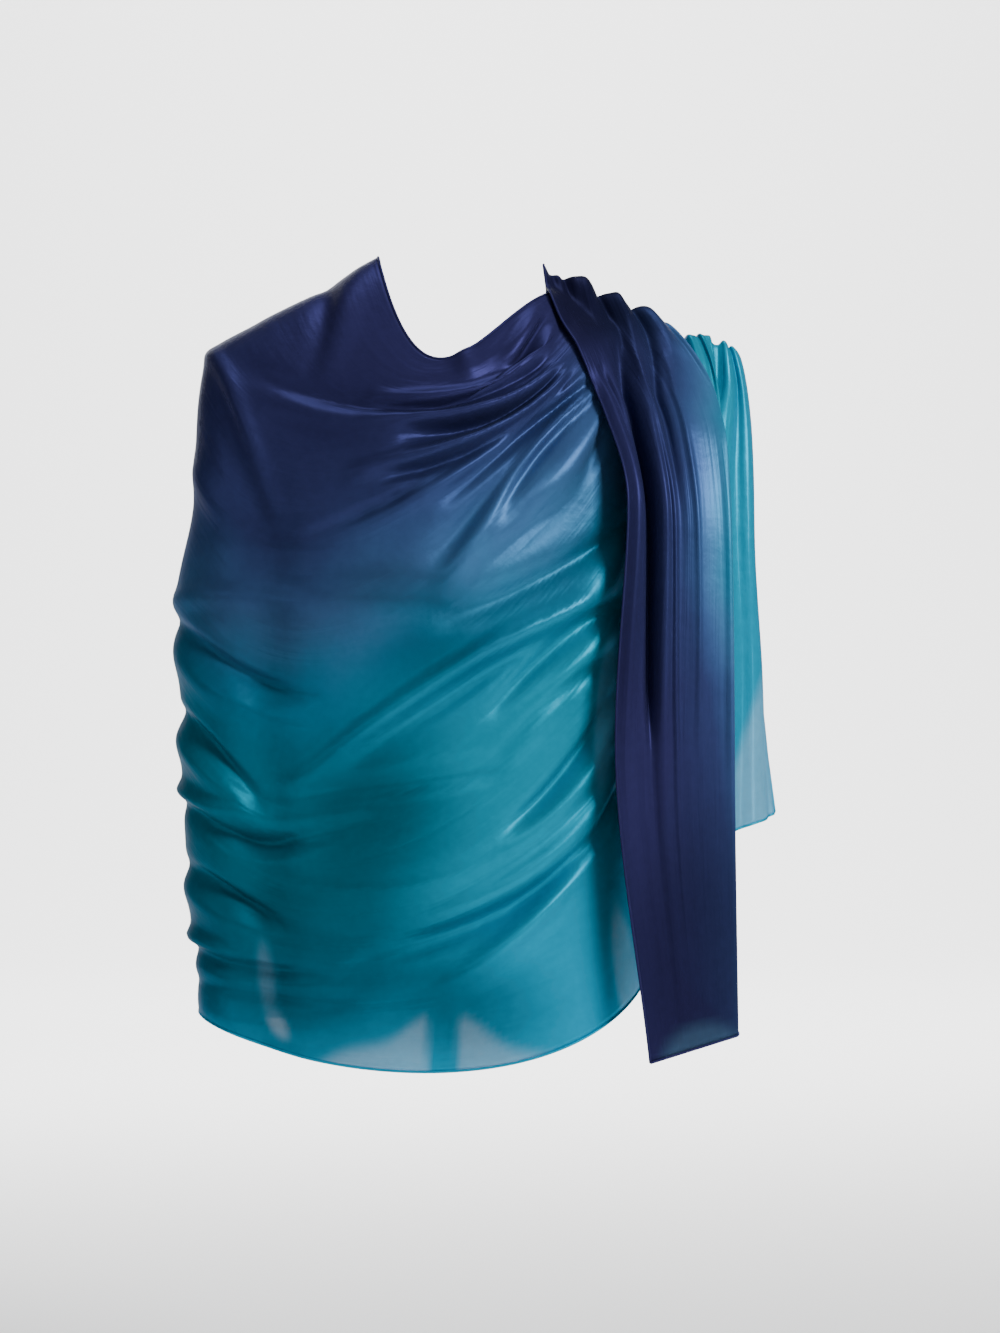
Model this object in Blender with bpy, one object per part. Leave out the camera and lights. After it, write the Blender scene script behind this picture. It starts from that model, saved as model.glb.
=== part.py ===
"""A rectangle of silk satin worn as a wrap, held at the left shoulder.

The cloth starts at the left shoulder, crosses the chest, turns round the right arm, crosses the back
and comes over the left shoulder again, where it hangs in front as a pleated tail. The front faces -Y,
the wearer's right arm is at -X, and the origin is the middle of the line between the shoulders.
Each stretch of cloth is a sheet whose points come from two numbers: across, from 0 at the dark edge
to 1 at the light edge, and along, from 0 to 1 in the direction in which the cloth runs.
"""

import math

import bmesh
import bpy
import numpy as np
from mathutils import Vector
from mathutils.bvhtree import BVHTree

MM = 0.001

# Driving sizes in millimetres
CLOTH_WALL = 1.6
SEAM_GAP = 0.9
ARM_SEAM_GAP = 0.6
TAIL_CLEARANCE = 10.0

# Grid counts of each stretch, across and along. The front and back have the same rows, so that
# their edges match at the fold over the arm.
WRAP_ROWS = 52
FRONT_GRID = (WRAP_ROWS, 34)
BACK_GRID = (WRAP_ROWS, 20)
TAIL_GRID = (62, 24)
TAIL_TOP_CROWDING = 1.35

# Where along a stretch its depth changes from the start's curve to the end's
DEPTH_BLEND = (0.25, 0.75)

# Where along the back the lead into the tail begins, and the step that gives the tail's direction
LEAD_START = 0.70
LEAD_STEP = 0.01

# One row for each drape line of the front, from the shoulder gather to the fold over the arm.
# Each line is a curve seen from the front, with its two handles, and a depth towards the front.
DRAPE_COLUMNS = (
    "across", "start_x", "start_z", "near_x", "near_z", "far_x", "far_z", "end_x", "end_z", "depth",
    "start_power", "end_power",
)
FRONT_LINES = (
    (0.00, 76, 30, 22, 4, -30, -109, -69, 59, 97, 1.15, 0.75),
    (0.05, 82, 27, 38, -48, -70, -105, -103, 38, 108, 1.15, 0.75),
    (0.13, 95, 20, 42, -95, -120, -112, -168, 5, 116, 1.20, 0.75),
    (0.20, 103, 14, 52, -90, -140, -180, -212, -25, 122, 1.20, 0.72),
    (0.27, 112, 8, 60, -78, -150, -255, -218, -66, 125, 1.20, 0.72),
    (0.38, 128, 2, 64, -125, -135, -325, -221, -140, 128, 1.15, 0.70),
    (0.50, 148, -95, 64, -245, -130, -410, -236, -228, 128, 0.80, 0.70),
    (0.62, 150, -190, 64, -330, -130, -500, -232, -310, 126, 0.75, 0.70),
    (0.75, 150, -290, 70, -420, -125, -560, -230, -388, 122, 0.75, 0.70),
    (0.88, 150, -385, 80, -510, -105, -560, -224, -486, 118, 0.75, 0.70),
    (1.00, 150, -538, 80, -632, -125, -612, -216, -562, 114, 0.75, 0.70),
)

# The same for the back, from the fold over the arm up to the left shoulder.
BACK_LINES = (
    (0.00, -69, 59, -52, -75, 48, -75, 72, 38, 74, 0.75, 1.10),
    (0.05, -103, 38, -85, -60, 48, -75, 79, 34, 88, 0.75, 1.10),
    (0.13, -168, 5, -120, -80, 50, -90, 92, 30, 100, 0.75, 1.10),
    (0.20, -212, -25, -135, -115, 52, -115, 105, 26, 108, 0.72, 1.10),
    (0.27, -218, -66, -140, -160, 56, -145, 118, 20, 112, 0.72, 1.10),
    (0.38, -221, -140, -135, -255, 66, -215, 137, 11, 115, 0.70, 1.10),
    (0.50, -236, -228, -130, -355, 80, -290, 160, 1, 116, 0.70, 1.05),
    (0.62, -232, -310, -130, -440, 96, -370, 182, -6, 115, 0.70, 1.05),
    (0.75, -230, -388, -125, -520, 118, -450, 203, -9, 114, 0.70, 1.00),
    (0.88, -224, -486, -110, -570, 145, -510, 220, -18, 112, 0.70, 1.00),
    (1.00, -216, -562, -100, -618, 180, -560, 230, -34, 110, 0.70, 1.00),
)

# Main creases. Each is a ridge, or a trough where the height is below 0, on a curve seen from the
# front that passes its start, middle and end. The front's begin at the shoulder gather or at the arm.
CREASE_COLUMNS = ("start_x", "start_z", "middle_x", "middle_z", "end_x", "end_z", "width", "height")
FRONT_CREASES = (
    (61, 9, 54, -8, 46, -24, 9, 3),
    (-77, 52, -93, 11, -108, -36, 14, 4),
    (72, -6, 24, -54, -68, -64, 10, 6),
    (76, -40, 22, -78, -40, -90, 10, -7),
    (82, -44, 18, -96, -82, -122, 10, 7),
    (90, -48, 8, -116, -118, -174, 9, -6),
    (106, -50, 58, -86, -8, -140, 9, -6),
    (110, -54, 48, -120, -12, -212, 10, 7),
    (122, -66, 76, -134, 4, -216, 15, 7),
    (78, -148, 54, -168, 16, -202, 12, -7),
    (134, -164, 78, -202, -10, -242, 9, -7),
    (128, -186, 86, -236, 20, -266, 15, 8),
    (40, -222, -50, -226, -150, -218, 14, -5),
    (96, -226, -20, -288, -136, -376, 10, 7),
    (124, -222, 60, -274, -60, -346, 9, -7),
    (122, -246, 84, -290, 40, -346, 12, 7),
    (126, -300, 86, -362, 42, -404, 9, -7),
    (126, -318, 92, -378, 40, -424, 11, 5),
    (30, -360, -40, -372, -166, -388, 12, -7),
    (128, -374, 66, -456, -74, -514, 12, -7),
    (124, -396, 56, -480, -8, -530, 11, 8),
    (-74, -402, -148, -420, -186, -408, 12, -6),
    (-150, -440, -60, -456, 40, -424, 16, 5),
    (-236, -240, -175, -283, -120, -302, 10, -8),
    (-238, -258, -190, -302, -130, -322, 12, 7),
    (-234, -312, -199, -345, -164, -382, 10, -8),
    (-236, -330, -206, -362, -166, -396, 12, 7),
    (-240, -374, -212, -388, -160, -402, 10, 6),
    (-232, -386, -176, -420, -140, -418, 10, -8),
    (-226, -440, -188, -461, -150, -484, 10, -8),
    (-232, -456, -196, -482, -150, -504, 12, 6),
    (-228, -506, -180, -522, -120, -524, 12, -4),
    (-218, -536, -161, -544, -90, -547, 10, -5),
    (-208, -22, -182, -62, -148, -160, 10, 5),
    (-172, -38, -120, -60, -50, -72, 12, -5),
)

# The back's run from the shoulder gather towards the arm.
BACK_CREASES = (
    (80, 22, 20, -50, -110, -46, 12, 6),
    (88, 18, 24, -66, -130, -72, 10, -6),
    (98, 16, 30, -84, -150, -106, 12, 8),
    (108, 12, 34, -104, -120, -146, 10, -8),
    (118, 8, 40, -124, -170, -190, 13, 8),
    (128, 4, 46, -150, -110, -216, 11, -8),
    (138, 0, 52, -180, -180, -270, 14, 9),
    (148, -6, 60, -214, -100, -296, 12, -8),
    (160, -10, 72, -244, -170, -360, 15, 8),
    (170, -14, 84, -284, -80, -382, 13, -8),
    (180, -20, 96, -320, -160, -440, 15, 8),
    (192, -24, 114, -350, -60, -460, 13, -7),
    (204, -30, 134, -370, -130, -510, 14, 7),
    (214, -40, 160, -360, 0, -520, 12, -6),
)

# A crease is measured at this many places, rises from its ends as a power of a sine that starts and
# stops a little short of 0, and the sum of the creases stays within a limit.
CREASE_PLACES = 30
CREASE_END_POWER = 0.7
CREASE_END_SHARE = 0.06
CREASE_LIMIT = 14.0

# How far behind the arm's edge the front's creases give way to the back's
TURN_DEPTH = 45.0

# Where along the back its creases end, so that it meets the tail plainly
CREASES_END = 0.80

# The hollow beside the arm, where the cloth sinks between the sleeve and the chest
ARM_VALLEY_X = -158.0
ARM_VALLEY_WIDTH = 24.0
ARM_VALLEY_DEPTH = 9.0
ARM_VALLEY_TOP_Z = -70.0
ARM_VALLEY_FADE = 90.0

# Fold lines of the tail. Each has its place across the cloth and, at each stop along the tail,
# x, y and z. The stops run from the back of the shoulder to the end of the cloth.
TAIL_STOPS = (0.0, 0.06, 0.12, 0.20, 0.30, 0.45, 0.70, 1.0)
TAIL_LINES = {
    0.00: ((71, 30, 36), (69, 0, 53), (80, -24, 14), (96, -60, -30),
           (116, -88, -74), (134, -114, -150), (124, -120, -340), (152, -112, -597)),
    0.40: ((164, 32, -6), (170, 0, 6), (190, -28, -16), (210, -58, -58),
           (218, -80, -102), (221, -94, -190), (223, -98, -380), (226, -92, -576)),
    0.53: ((178, 33, -16), (182, 2, -10), (186, -14, -38), (176, -46, -72),
           (164, -66, -108), (158, -78, -170), (160, -82, -330), (156, -74, -490)),
    0.66: ((192, 34, -12), (197, 4, -2), (207, -14, -24), (214, -38, -62),
           (216, -54, -104), (216, -64, -165), (214, -66, -300), (214, -62, -455)),
    0.77: ((205, 34, -20), (210, 6, -12), (208, 0, -44), (192, -22, -76),
           (176, -38, -112), (170, -46, -160), (172, -48, -285), (172, -46, -432)),
    0.90: ((220, 33, -24), (225, 10, -12), (233, 2, -38), (238, -10, -80),
           (240, -18, -120), (242, -22, -180), (246, -20, -290), (244, -16, -408)),
    1.00: ((230, 31, -44), (235, 28, -42), (237, 32, -66), (237, 34, -98),
           (236, 34, -135), (232, 30, -190), (246, 22, -290), (260, 8, -400)),
}

# Pleats of the tail, moved out of the cloth, with heights read at four stops along it.
PLEAT_STOPS = (0.0, 0.07, 0.45, 1.0)
PLEAT_COLUMNS = ("across", "width", "crest_height", "middle_height", "end_height")
TAIL_PLEATS = (
    (0.025, 0.020, 4.0, 6.0, 3.0),
    (0.065, 0.018, -5.0, -3.0, -1.0),
    (0.110, 0.020, 5.0, 5.0, 3.0),
    (0.155, 0.018, -5.0, -9.0, -3.0),
    (0.200, 0.022, 5.0, 7.0, 4.0),
    (0.250, 0.018, -5.0, -3.0, -2.0),
    (0.300, 0.024, 5.0, 4.0, 3.0),
    (0.345, 0.016, -3.0, 0.0, 0.0),
    (0.590, 0.022, 0.0, 2.0, 4.0),
    (0.715, 0.022, 0.0, -2.0, -4.0),
    (0.835, 0.024, 4.0, 4.0, 5.0),
    (0.880, 0.018, -3.0, -2.0, -4.0),
    (0.950, 0.022, 3.0, 3.0, 4.0),
)
FOLD_ROUNDING = 0.024

# The way out of the shoulder along which the tail is lifted clear of the front
SHOULDER_OUT = (0.0, -0.8, 0.6)
RAY_REACH = 250.0
DEEPEST_LIFT = 60.0

# Colours of the three stretches, as linear red, green and blue
CLOTH_COLOURS = {
    "front_wrap": (0.010, 0.150, 0.200),
    "back_wrap": (0.012, 0.080, 0.140),
    "front_tail": (0.017, 0.018, 0.075),
}
CLOTH_ROUGHNESS = 0.38


def smooth_read(stops, values, places):
    """Values of a smooth curve through the stops, with no overshoot between them."""
    stops = np.asarray(stops, float)
    values = np.asarray(values, float)
    places = np.clip(places, stops[0], stops[-1])
    steps = np.diff(stops)
    rises = np.diff(values) / steps
    slopes = np.zeros_like(values)
    slopes[0] = rises[0]
    slopes[-1] = rises[-1]
    for i in range(1, len(stops) - 1):
        if rises[i - 1] * rises[i] > 0:
            before = 2 * steps[i] + steps[i - 1]
            after = steps[i] + 2 * steps[i - 1]
            slopes[i] = (before + after) / (before / rises[i - 1] + after / rises[i])
    cell = np.clip(np.searchsorted(stops, places, side="right") - 1, 0, len(steps) - 1)
    step = steps[cell]
    t = (places - stops[cell]) / step
    return (
        (1 + 2 * t) * (1 - t) ** 2 * values[cell]
        + t * (1 - t) ** 2 * step * slopes[cell]
        + t * t * (3 - 2 * t) * values[cell + 1]
        + t * t * (t - 1) * step * slopes[cell + 1]
    )


def ease(low, high, places):
    """0 below low, 1 above high, and a soft step between."""
    t = np.clip((places - low) / (high - low), 0, 1)
    return t * t * (3 - 2 * t)


def drape(lines, across, along, side):
    """Points of a draped stretch, before its folds. side is -1 for the front and 1 for the back."""
    table = dict(zip(DRAPE_COLUMNS, np.array(lines, float).T))
    read = {
        name: smooth_read(table["across"], table[name], across)
        for name in DRAPE_COLUMNS[1:]
    }
    t = (1 - np.cos(math.pi * along)) / 2
    weights = ((1 - t) ** 3, 3 * t * (1 - t) ** 2, 3 * t * t * (1 - t), t ** 3)
    places = ("start", "near", "far", "end")
    x = sum(w * read[f"{place}_x"] for w, place in zip(weights, places))
    z = sum(w * read[f"{place}_z"] for w, place in zip(weights, places))
    blend = ease(*DEPTH_BLEND, along)
    power = read["start_power"] * (1 - blend) + read["end_power"] * blend
    y = side * read["depth"] * np.sin(math.pi * np.clip(along, 0, 1)) ** power
    return np.stack([x, y, z], axis=-1)


def crease_heights(creases, points):
    """How far the creases move each point out of the cloth."""
    x, z = points[..., 0], points[..., 2]
    t = np.linspace(0, 1, CREASE_PLACES)
    rise = CREASE_END_SHARE + (1 - 2 * CREASE_END_SHARE) * t
    strength = np.sin(math.pi * rise) ** CREASE_END_POWER
    total = np.zeros_like(x)
    for row in creases:
        crease = dict(zip(CREASE_COLUMNS, row))
        handle_x = 2 * crease["middle_x"] - (crease["start_x"] + crease["end_x"]) / 2
        handle_z = 2 * crease["middle_z"] - (crease["start_z"] + crease["end_z"]) / 2
        curve_x = (1 - t) ** 2 * crease["start_x"] + 2 * t * (1 - t) * handle_x + t * t * crease["end_x"]
        curve_z = (1 - t) ** 2 * crease["start_z"] + 2 * t * (1 - t) * handle_z + t * t * crease["end_z"]
        gaps = (x[..., None] - curve_x) ** 2 + (z[..., None] - curve_z) ** 2
        nearest = gaps.argmin(axis=-1)
        total += crease["height"] * strength[nearest] * np.exp(-gaps.min(axis=-1) / crease["width"] ** 2)
    return np.clip(total, -CREASE_LIMIT, CREASE_LIMIT)


def sheet_normals(points, outward):
    """Unit normals of a grid of points, turned so that most look along outward."""
    across = np.gradient(points, axis=0)
    along = np.gradient(points, axis=1)
    normals = np.cross(across, along)
    normals /= np.maximum(np.linalg.norm(normals, axis=2, keepdims=True), 1e-9)
    if (normals @ np.array(outward, float)).sum() < 0:
        normals = -normals
    return normals


def grid_of(counts):
    """Places across and along, as two grids."""
    return np.meshgrid(np.linspace(0, 1, counts[0]), np.linspace(0, 1, counts[1]), indexing="ij")


def arm_valley(points):
    """The shallow hollow between the sleeve and the chest, as a move towards the back."""
    reach = np.exp(-(((points[..., 0] - ARM_VALLEY_X) / ARM_VALLEY_WIDTH) ** 2))
    below = ease(0, ARM_VALLEY_FADE, ARM_VALLEY_TOP_Z - points[..., 2])
    return ARM_VALLEY_DEPTH * reach * below


def front_points():
    """The front, whose arm end stops a seam gap short of the back and keeps to its plane."""
    across, along = grid_of(FRONT_GRID)
    points = drape(FRONT_LINES, across, along, -1)
    points[..., 1] += arm_valley(points) - ARM_SEAM_GAP / 2
    normals = sheet_normals(points, (0, -1, 0))
    normals[:, -1, 1] = 0
    return points + normals * crease_heights(FRONT_CREASES, points)[..., None]


def back_points():
    """The back, from the arm to the top of the left shoulder."""
    across, along = grid_of(BACK_GRID)
    points = drape(BACK_LINES, across, along, 1)
    points[..., 1] += ARM_SEAM_GAP / 2
    normals = sheet_normals(points, (0, 1, 0))
    normals[:, 0, 1] = 0
    behind = ease(0, TURN_DEPTH, points[..., 1])
    heights = crease_heights(FRONT_CREASES, points) * (1 - behind)
    heights += crease_heights(BACK_CREASES, points) * behind
    heights *= 1 - ease(CREASES_END, 1, along)
    return join_to_tail(points + normals * heights[..., None], across, along)


def tail_base(across, along):
    """The folded section of the tail at each place along it, before its pleats."""
    places = sorted(TAIL_LINES)
    lines = np.array([TAIL_LINES[place] for place in places], float)
    base = np.zeros(across.shape + (3,))
    for axis in range(3):
        knots = np.array([smooth_read(TAIL_STOPS, line[:, axis], along[0]) for line in lines])
        for column in range(across.shape[1]):
            base[:, column, axis] = rounded_section(places, knots[:, column], across[:, column])
    return base


def rounded_section(places, knots, across):
    """A line through the knots whose corners are rounded."""
    offsets = FOLD_ROUNDING * np.array([-1.0, -0.5, 0.0, 0.5, 1.0])
    weights = np.array([1.0, 2.0, 3.0, 2.0, 1.0])
    total = np.zeros_like(across)
    for offset, weight in zip(offsets, weights / weights.sum()):
        near = across + offset * np.minimum(1, np.minimum(across, 1 - across) / FOLD_ROUNDING)
        total += weight * np.interp(near, places, knots)
    return total


def pleat_heights(across, along):
    """How far the pleats of the tail move each point."""
    height = np.zeros_like(across)
    for row in TAIL_PLEATS:
        pleat = dict(zip(PLEAT_COLUMNS, row))
        strength = smooth_read(
            PLEAT_STOPS,
            (pleat["crest_height"], pleat["crest_height"], pleat["middle_height"], pleat["end_height"]),
            along,
        )
        height += strength * np.exp(-(((across - pleat["across"]) / pleat["width"]) ** 2))
    return height


def tail_points_at(across, along):
    """Points of the tail with its pleats."""
    base = tail_base(across, along)
    slope_across = np.gradient(base, axis=0)
    slope_along = np.gradient(base, axis=1)
    normals = np.cross(slope_along, slope_across)
    normals /= np.maximum(np.linalg.norm(normals, axis=2, keepdims=True), 1e-9)
    return base + normals * pleat_heights(across, along)[..., None]


def widest_near(amounts):
    """Each amount replaced by the largest of it and its neighbours, then by their mean."""
    padded = np.pad(amounts, 1, mode="edge")
    near = [padded[1 + i:padded.shape[0] - 1 + i, 1 + j:padded.shape[1] - 1 + j]
            for i in (-1, 0, 1) for j in (-1, 0, 1)]
    largest = np.pad(np.max(near, axis=0), 1, mode="edge")
    near = [largest[1 + i:largest.shape[0] - 1 + i, 1 + j:largest.shape[1] - 1 + j]
            for i in (-1, 0, 1) for j in (-1, 0, 1)]
    return np.mean(near, axis=0)


def lifted_clear(points, under):
    """Points moved out of the cloth under them, along the slope of the shoulder."""
    out = Vector(SHOULDER_OUT)
    lifts = np.zeros(points.shape[:2])
    for i, j in np.ndindex(lifts.shape):
        place = Vector(points[i, j])
        hit = under.ray_cast(place + out * RAY_REACH, -out, 2 * RAY_REACH)[0]
        if hit is not None:
            clear = (place - hit).dot(out)
            if clear > -DEEPEST_LIFT:
                lifts[i, j] = max(0.0, TAIL_CLEARANCE - clear)
    return points + widest_near(lifts)[..., None] * np.array(SHOULDER_OUT)


def tail_points(front):
    """The tail, laid over the front where the two meet."""
    across, along = grid_of(TAIL_GRID)
    points = tail_points_at(across, along ** TAIL_TOP_CROWDING)
    return lifted_clear(points, surface_tree(front))


def surface_tree(points):
    """A tree of the faces of a grid of points, for casting rays."""
    rows, columns = points.shape[:2]
    corners = [Vector(point) for point in points.reshape(-1, 3)]
    faces = [
        (i * columns + j, i * columns + j + 1, (i + 1) * columns + j + 1, (i + 1) * columns + j)
        for i in range(rows - 1)
        for j in range(columns - 1)
    ]
    return BVHTree.FromPolygons(corners, faces)


def join_to_tail(points, across, along):
    """The last of the back led into the first section of the tail, a seam gap away."""
    start_along = np.zeros((across.shape[0], 2))
    start_along[:, 1] = LEAD_STEP
    first = tail_points_at(np.repeat(across[:, :1], 2, axis=1), start_along)
    edge = first[:, 0]
    away = first[:, 0] - first[:, 1]
    away /= np.linalg.norm(away, axis=1, keepdims=True)
    edge = edge + away * SEAM_GAP
    shift = edge - points[:, -1]
    share = ease(LEAD_START, 1.0, along)
    return points + shift[:, None, :] * share[..., None]


def cloth_object(name, points, outward_down):
    """A sheet made from a grid, given its wall, with the side that shows facing out."""
    rows, columns = points.shape[:2]
    mesh = bpy.data.meshes.new(name)
    sheet = bmesh.new()
    bmesh.ops.create_grid(sheet, x_segments=columns - 1, y_segments=rows - 1, size=0.5)
    sheet.verts.ensure_lookup_table()
    for vert in sheet.verts:
        column = round((vert.co.x + 0.5) * (columns - 1))
        row = round((vert.co.y + 0.5) * (rows - 1))
        vert.co = Vector(points[row, column]) * MM
    if outward_down:
        bmesh.ops.reverse_faces(sheet, faces=sheet.faces)
    for face in sheet.faces:
        face.smooth = True
    sheet.to_mesh(mesh)
    sheet.free()
    cloth = bpy.data.objects.new(name, mesh)
    bpy.context.scene.collection.objects.link(cloth)
    cloth.data.materials.append(satin(name))
    wall = cloth.modifiers.new("wall", "SOLIDIFY")
    wall.thickness = CLOTH_WALL * MM
    wall.offset = 0
    return cloth


def satin(name):
    """The silk satin of one stretch."""
    material = bpy.data.materials.new(f"silk_{name}")
    material.use_nodes = True
    shader = material.node_tree.nodes["Principled BSDF"]
    shader.inputs["Base Color"].default_value = (*CLOTH_COLOURS[name], 1)
    shader.inputs["Roughness"].default_value = CLOTH_ROUGHNESS
    shader.inputs["Metallic"].default_value = 0
    return material


def clear_scene():
    """Removes every object that the scene starts with."""
    for item in list(bpy.data.objects):
        bpy.data.objects.remove(item)


def build():
    """Makes the three stretches of the scarf."""
    clear_scene()
    front = front_points()
    cloth_object("front_wrap", front, True)
    cloth_object("back_wrap", back_points(), False)
    cloth_object("front_tail", tail_points(front), True)


build()
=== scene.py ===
"""The looks of a silk satin scarf worn as a shoulder wrap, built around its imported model.

The cloth is one rectangle, dip-dyed from navy at one long edge to teal at the other. It starts at the
left shoulder, crosses the chest, turns round the right arm, crosses the back, comes over the left
shoulder and hangs in front as a pleated tail. Lengths are in millimetres, and MM turns them to metres.
The front faces -Y and the covered right arm is at -X.
"""

import logging
import math
from dataclasses import dataclass, field
from enum import Enum
from typing import Any, Iterable, Sequence

import bmesh
import bpy
import numpy as np
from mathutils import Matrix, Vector
from mathutils.bvhtree import BVHTree


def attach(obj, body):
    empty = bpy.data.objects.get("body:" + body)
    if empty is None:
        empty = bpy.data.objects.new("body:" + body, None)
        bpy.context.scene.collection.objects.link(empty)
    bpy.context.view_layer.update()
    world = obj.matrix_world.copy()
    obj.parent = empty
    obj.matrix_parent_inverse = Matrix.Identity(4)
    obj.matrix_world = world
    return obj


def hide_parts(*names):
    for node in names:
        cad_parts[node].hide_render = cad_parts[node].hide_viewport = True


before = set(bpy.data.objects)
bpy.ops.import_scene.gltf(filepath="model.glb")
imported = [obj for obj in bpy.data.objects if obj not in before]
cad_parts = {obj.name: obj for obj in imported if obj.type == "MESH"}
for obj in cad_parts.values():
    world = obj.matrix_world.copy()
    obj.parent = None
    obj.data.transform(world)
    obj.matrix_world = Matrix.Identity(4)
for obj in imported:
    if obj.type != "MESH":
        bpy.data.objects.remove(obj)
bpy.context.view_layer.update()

LOG = logging.getLogger("scarf")
MM = 0.001
Grid = np.ndarray

# The photo: its size and the pixel of the origin, and the millimetres in one pixel.
PHOTO_WIDTH = 1000
PHOTO_HEIGHT = 1333
ORIGIN_PIXEL = (462, 330)
PIXEL_MM = 0.83

# A crease: the points that draw its curve, the widths that it reaches, how far a lean moves its
# flanks, and how its height falls off at its ends.
CREASE_SAMPLES = 40
CREASE_REACH = 2.6
CREASE_LEAN = 0.55
CREASE_END = 0.06
CREASE_END_POWER = 0.7

# A wave texture turns this many radians for each unit of its scale.
WAVE_RADIANS = 20

# The least length that a vector is divided by.
LEAST_LENGTH = 1e-9


class Side(Enum):
    """The side of the wearer on which a stretch of cloth lies."""

    FRONT = -1
    BACK = 1


class Hold(Enum):
    """How a sheet of cloth is held, in the frame's own words."""

    DRAPED = "draped"
    GATHERED = "gathered"


def ease(low: float, high: float, places: Grid) -> Grid:
    """Soft step.

    Args:
        low: where the step starts.
        high: where it ends.
        places: where to read it.

    Returns:
        0 below low, 1 above high, and a soft slope between.
    """
    t = np.clip((places - low) / (high - low), 0, 1)
    return t * t * (3 - 2 * t)


def between(start: tuple[float, float], end: tuple[float, float], places: Grid) -> Grid:
    """1 between two soft steps, the first up and the second down, and 0 outside them."""
    return ease(*start, places) * (1 - ease(*end, places))


def smooth_read(stops: Sequence[float], values: Sequence[float], places: Grid) -> Grid:
    """Smooth curve through stops, with no overshoot between them.

    Args:
        stops: rising places of the known values.
        values: the value at each stop.
        places: where to read the curve.

    Returns:
        The value at each place.
    """
    knots = np.asarray(stops, float)
    heights = np.asarray(values, float)
    places = np.clip(places, knots[0], knots[-1])
    steps = np.diff(knots)
    rises = np.diff(heights) / steps
    slopes = np.zeros_like(heights)
    slopes[0] = rises[0]
    slopes[-1] = rises[-1]
    for i in range(1, len(knots) - 1):
        if rises[i - 1] * rises[i] > 0:
            before = 2 * steps[i] + steps[i - 1]
            after = steps[i] + 2 * steps[i - 1]
            slopes[i] = (before + after) / (before / rises[i - 1] + after / rises[i])
    cell = np.clip(np.searchsorted(knots, places, side="right") - 1, 0, len(steps) - 1)
    step = steps[cell]
    t = (places - knots[cell]) / step
    return (
        (1 + 2 * t) * (1 - t) ** 2 * heights[cell]
        + t * (1 - t) ** 2 * step * slopes[cell]
        + t * t * (3 - 2 * t) * heights[cell + 1]
        + t * t * (t - 1) * step * slopes[cell + 1]
    )


def unit(vectors: Grid) -> Grid:
    """The same directions with a length of 1."""
    return vectors / np.maximum(np.linalg.norm(vectors, axis=-1, keepdims=True), LEAST_LENGTH)


def edges(grid: Grid, end: int) -> tuple[Grid, Grid, Grid]:
    """The two long edges of a grid, and its first or last column."""
    return grid[0], grid[-1], grid[:, end]


def grid_normals(points: Grid, outward: Sequence[float]) -> Grid:
    """Unit normals of a grid of points.

    Args:
        points: rows across the cloth, columns along it, and x, y, z.
        outward: the way that most of the normals look.

    Returns:
        A normal for each point.
    """
    normals = unit(np.cross(np.gradient(points, axis=0), np.gradient(points, axis=1)))
    return normals if (normals @ np.asarray(outward, float)).sum() >= 0 else -normals


def blurred(heights: Grid) -> Grid:
    """Heights evened out between neighbours, so that no crease is sharper than the grid.

    Args:
        heights: a height for each point of a grid.

    Returns:
        The softened heights.
    """
    padded = np.pad(heights, 1, mode="edge")
    rows = (padded[:-2] + 2 * padded[1:-1] + padded[2:]) / 4
    return (rows[:, :-2] + 2 * rows[:, 1:-1] + rows[:, 2:]) / 4


@dataclass(frozen=True)
class DrapeLine:
    """One line of the cloth round the wearer, seen from the front, and how far it stands off."""

    across: float
    start_x: float
    start_z: float
    near_x: float
    near_z: float
    far_x: float
    far_z: float
    end_x: float
    end_z: float
    depth: float
    start_power: float
    end_power: float


@dataclass(frozen=True)
class Crease:
    """A soft ridge, or a trough where height is below 0, on a curve seen from the front.

    The curve passes start, middle and end. lean makes the upper flank steeper where it is above 0, and
    spread makes the start narrower than the end.
    """

    start: tuple[float, float]
    middle: tuple[float, float]
    end: tuple[float, float]
    width: float
    height: float
    lean: float = 0.0
    spread: float = 0.0

    def heights(self, x: Grid, z: Grid) -> Grid:
        """How far the crease moves each point.

        Args:
            x: where the points are, seen from the front.
            z: how high they are.

        Returns:
            The move out of the cloth, in millimetres.
        """
        t = np.linspace(0, 1, CREASE_SAMPLES)[:, None]
        start, middle, end = (np.array(p, float) for p in (self.start, self.middle, self.end))
        handle = 2 * middle - (start + end) / 2
        curve = (1 - t) ** 2 * start + 2 * t * (1 - t) * handle + t * t * end
        flat = np.stack([x.ravel(), z.ravel()], axis=1)
        reach = CREASE_REACH * self.width * (1 + abs(self.spread)) * (1 + abs(self.lean))
        low = curve.min(axis=0) - reach
        high = curve.max(axis=0) + reach
        near = np.all((flat > low) & (flat < high), axis=1)
        found = np.zeros(len(flat))
        if not near.any():
            return found.reshape(x.shape)
        away = flat[near][:, None, :] - curve[None]
        gaps = np.einsum("ijk,ijk->ij", away, away)
        nearest = gaps.argmin(axis=1)
        place = nearest / (CREASE_SAMPLES - 1)
        tangent = unit(np.gradient(curve, axis=0))
        rows = np.arange(len(nearest))
        offset = away[rows, nearest]
        aside = tangent[nearest][:, 0] * offset[:, 1] - tangent[nearest][:, 1] * offset[:, 0]
        upper = np.sign(aside) * np.sign(tangent[nearest][:, 0])
        width = self.width * (1 - CREASE_LEAN * self.lean * upper)
        width = width * (1 + self.spread * (2 * place - 1))
        inward = CREASE_END + (1 - 2 * CREASE_END) * place
        strength = np.sin(math.pi * inward) ** CREASE_END_POWER
        found[near] = self.height * strength * np.exp(-gaps[rows, nearest] / width**2)
        return found.reshape(x.shape)


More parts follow.
